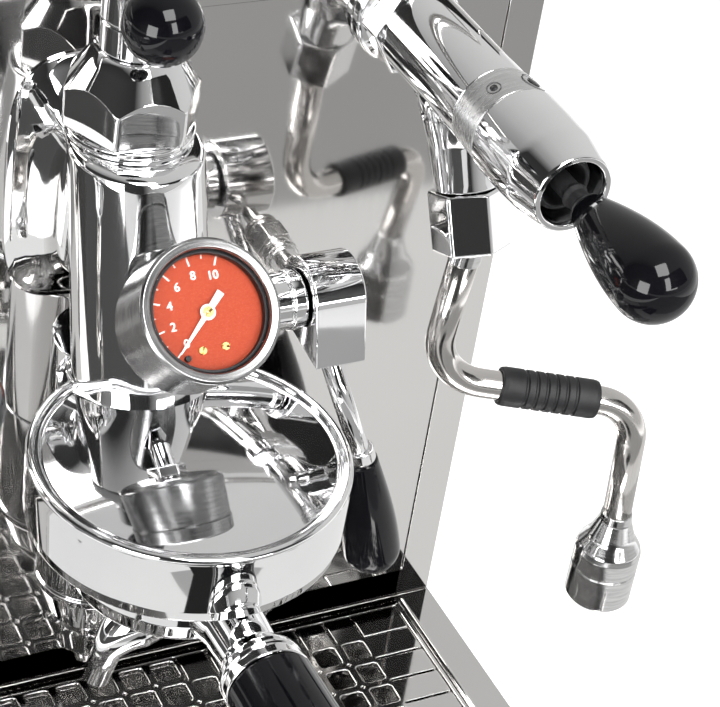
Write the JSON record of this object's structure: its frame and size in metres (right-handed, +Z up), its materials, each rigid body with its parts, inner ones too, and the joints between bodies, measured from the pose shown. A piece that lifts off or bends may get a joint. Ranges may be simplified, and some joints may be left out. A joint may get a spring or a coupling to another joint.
{
  "type": "espresso machine",
  "caption": "Lever-operated espresso machine with a chrome brew group, tilted pressure gauge, portafilter, drip tray and swivelling steam and hot-water wands.",
  "frame": {"origin": "middle of the whole machine's footprint, on the surface that it stands on", "axes": "+Z up, -Y towards the user, so the portafilter's handle points along -Y; +X is the user's right"},
  "size_m": [0.3432, 0.5416, 0.395],
  "materials": {
    "polished_steel": "mirror-polished stainless sheet",
    "steel_rail": "bright stainless",
    "chrome": "mirror chrome",
    "wand_steel": "polished stainless tube",
    "gauge_steel": "turned and brushed",
    "gloss_black": "high gloss",
    "matte_black": "fine grain",
    "rubber": "matte",
    "copper": "brushed copper",
    "heater_steel": "oxidised",
    "brass": "turned",
    "pump_grey": "satin",
    "screw_steel": "socket heads",
    "tank_plastic": "translucent white",
    "dial_orange": "matt print",
    "needle_white": "satin",
    "glass": "clear"
  },
  "bodies": {
    "machine": {"base_pan": "polished_steel", "feet": "rubber", "front_panel": "polished_steel", "side_panel_left": "polished_steel", "side_panel_right": "polished_steel", "rear_panel": "polished_steel", "top_plate": "polished_steel", "cup_rail": "steel_rail", "splash_ledge": "polished_steel", "power_bezel": "matte_black", "power_inlet": "matte_black", "case_screws": "screw_steel", "boiler": "copper", "boiler_brackets": "steel_rail", "heating_element": "heater_steel", "safety_valve": "brass", "pump": "pump_grey", "control_box": "matte_black", "copper_pipes": "copper", "group_body": "chrome", "group_bell": "chrome", "cap_nut": "chrome", "group_gasket": "rubber", "shower_screen": "steel_rail", "lower_chamber": "chrome", "drain_pipe": "steel_rail", "cam_housing": "chrome", "switch_bush": "steel_rail", "gauge_fitting": "chrome", "gauge_case": "gauge_steel", "gauge_dial": "dial_orange", "gauge_glass": "glass", "valve_right": "chrome", "valve_left": "chrome", "outlet_nuts": "chrome", "valve_boots": "rubber"},
    "drip_tray": {"drip_tray": "polished_steel"},
    "drip_grate": {"drip_grate": "polished_steel"},
    "water_tank": {"water_tank": "tank_plastic"},
    "tank_lid": {"tank_lid": "polished_steel"},
    "power_rocker": {"power_rocker": "gloss_black"},
    "brew_lever": {"lever_hub": "chrome", "lever_rod": "chrome", "lever_handle": "gloss_black"},
    "switch_plunger": {"switch_plunger": "steel_rail"},
    "flow_control": {"flow_hub": "chrome", "flow_knob": "gloss_black"},
    "gauge_needle": {"gauge_needle": "needle_white"},
    "portafilter": {"portafilter_body": "chrome", "filter_basket": "steel_rail", "portafilter_spout": "chrome", "portafilter_handle": "gloss_black"},
    "joystick_right": {"joystick_right": "gloss_black"},
    "joystick_left": {"joystick_left": "gloss_black"},
    "wand_right": {"wand_right": "wand_steel", "wand_grip_right": "rubber", "wand_nozzle_right": "wand_steel"},
    "wand_left": {"wand_left": "wand_steel", "wand_grip_left": "rubber", "wand_nozzle_left": "wand_steel"}
  },
  "joints": [
    {"name": "tray_slide", "type": "slide", "parent": "machine", "child": "drip_tray", "axis": [0, -1, 0], "range_m": [0, 0.15]},
    {"name": "grate_lift", "type": "slide", "parent": "drip_tray", "child": "drip_grate", "axis": [0, 0, 1], "range_m": [0, 0.025]},
    {"name": "tank_lift", "type": "slide", "parent": "machine", "child": "water_tank", "axis": [0, 0, 1], "range_m": [0, 0.25]},
    {"name": "lid_lift", "type": "slide", "parent": "water_tank", "child": "tank_lid", "axis": [0, 0, 1], "range_m": [0, 0.08]},
    {"name": "power_switch", "type": "hinge", "parent": "machine", "child": "power_rocker", "pos_m": [-0.146, 0.0544, 0.1245], "axis": [0, 1, 0], "range_deg": [0, 16]},
    {"name": "lever_turn", "type": "hinge", "parent": "machine", "child": "brew_lever", "pos_m": [0.064, -0.0224, 0.265], "axis": [1, 0, 0], "range_deg": [-85, 0]},
    {"name": "plunger_press", "type": "slide", "parent": "machine", "child": "switch_plunger", "axis": [0, 1, 0], "range_m": [0, 0.0025], "stiffness_N_per_m": 200, "springref_m": -0.002},
    {"name": "flow_turn", "type": "hinge", "parent": "machine", "child": "flow_control", "pos_m": [0, -0.0066, 0.365], "axis": [0, 0, 1], "range_deg": [-90, 90]},
    {"name": "needle_turn", "type": "hinge", "parent": "machine", "child": "gauge_needle", "pos_m": [0, -0.0736, 0.3068], "axis": [0, -0.7071, 0.7071], "range_deg": [-165, 0]},
    {"name": "portafilter_turn", "type": "hinge", "parent": "machine", "child": "portafilter", "pos_m": [0, -0.0709, 0.235], "axis": [0, 0, 1], "range_deg": [-50, 0]},
    {"name": "joystick_right_tilt", "type": "hinge", "parent": "machine", "child": "joystick_right", "pos_m": [0.097, -0.0811, 0.344], "axis": [1, 0, 0], "range_deg": [-12, 12]},
    {"name": "joystick_left_tilt", "type": "hinge", "parent": "machine", "child": "joystick_left", "pos_m": [-0.097, -0.0811, 0.344], "axis": [1, 0, 0], "range_deg": [-12, 12]},
    {"name": "wand_right_swivel", "type": "hinge", "parent": "machine", "child": "wand_right", "pos_m": [0.1006, -0.0441, 0.2947], "axis": [0.0747, -0.0437, 0.9962], "range_deg": [-60, 45]},
    {"name": "wand_left_swivel", "type": "hinge", "parent": "machine", "child": "wand_left", "pos_m": [-0.1006, -0.0441, 0.2947], "axis": [-0.0747, -0.0437, 0.9962], "range_deg": [-45, 60]}
  ]
}
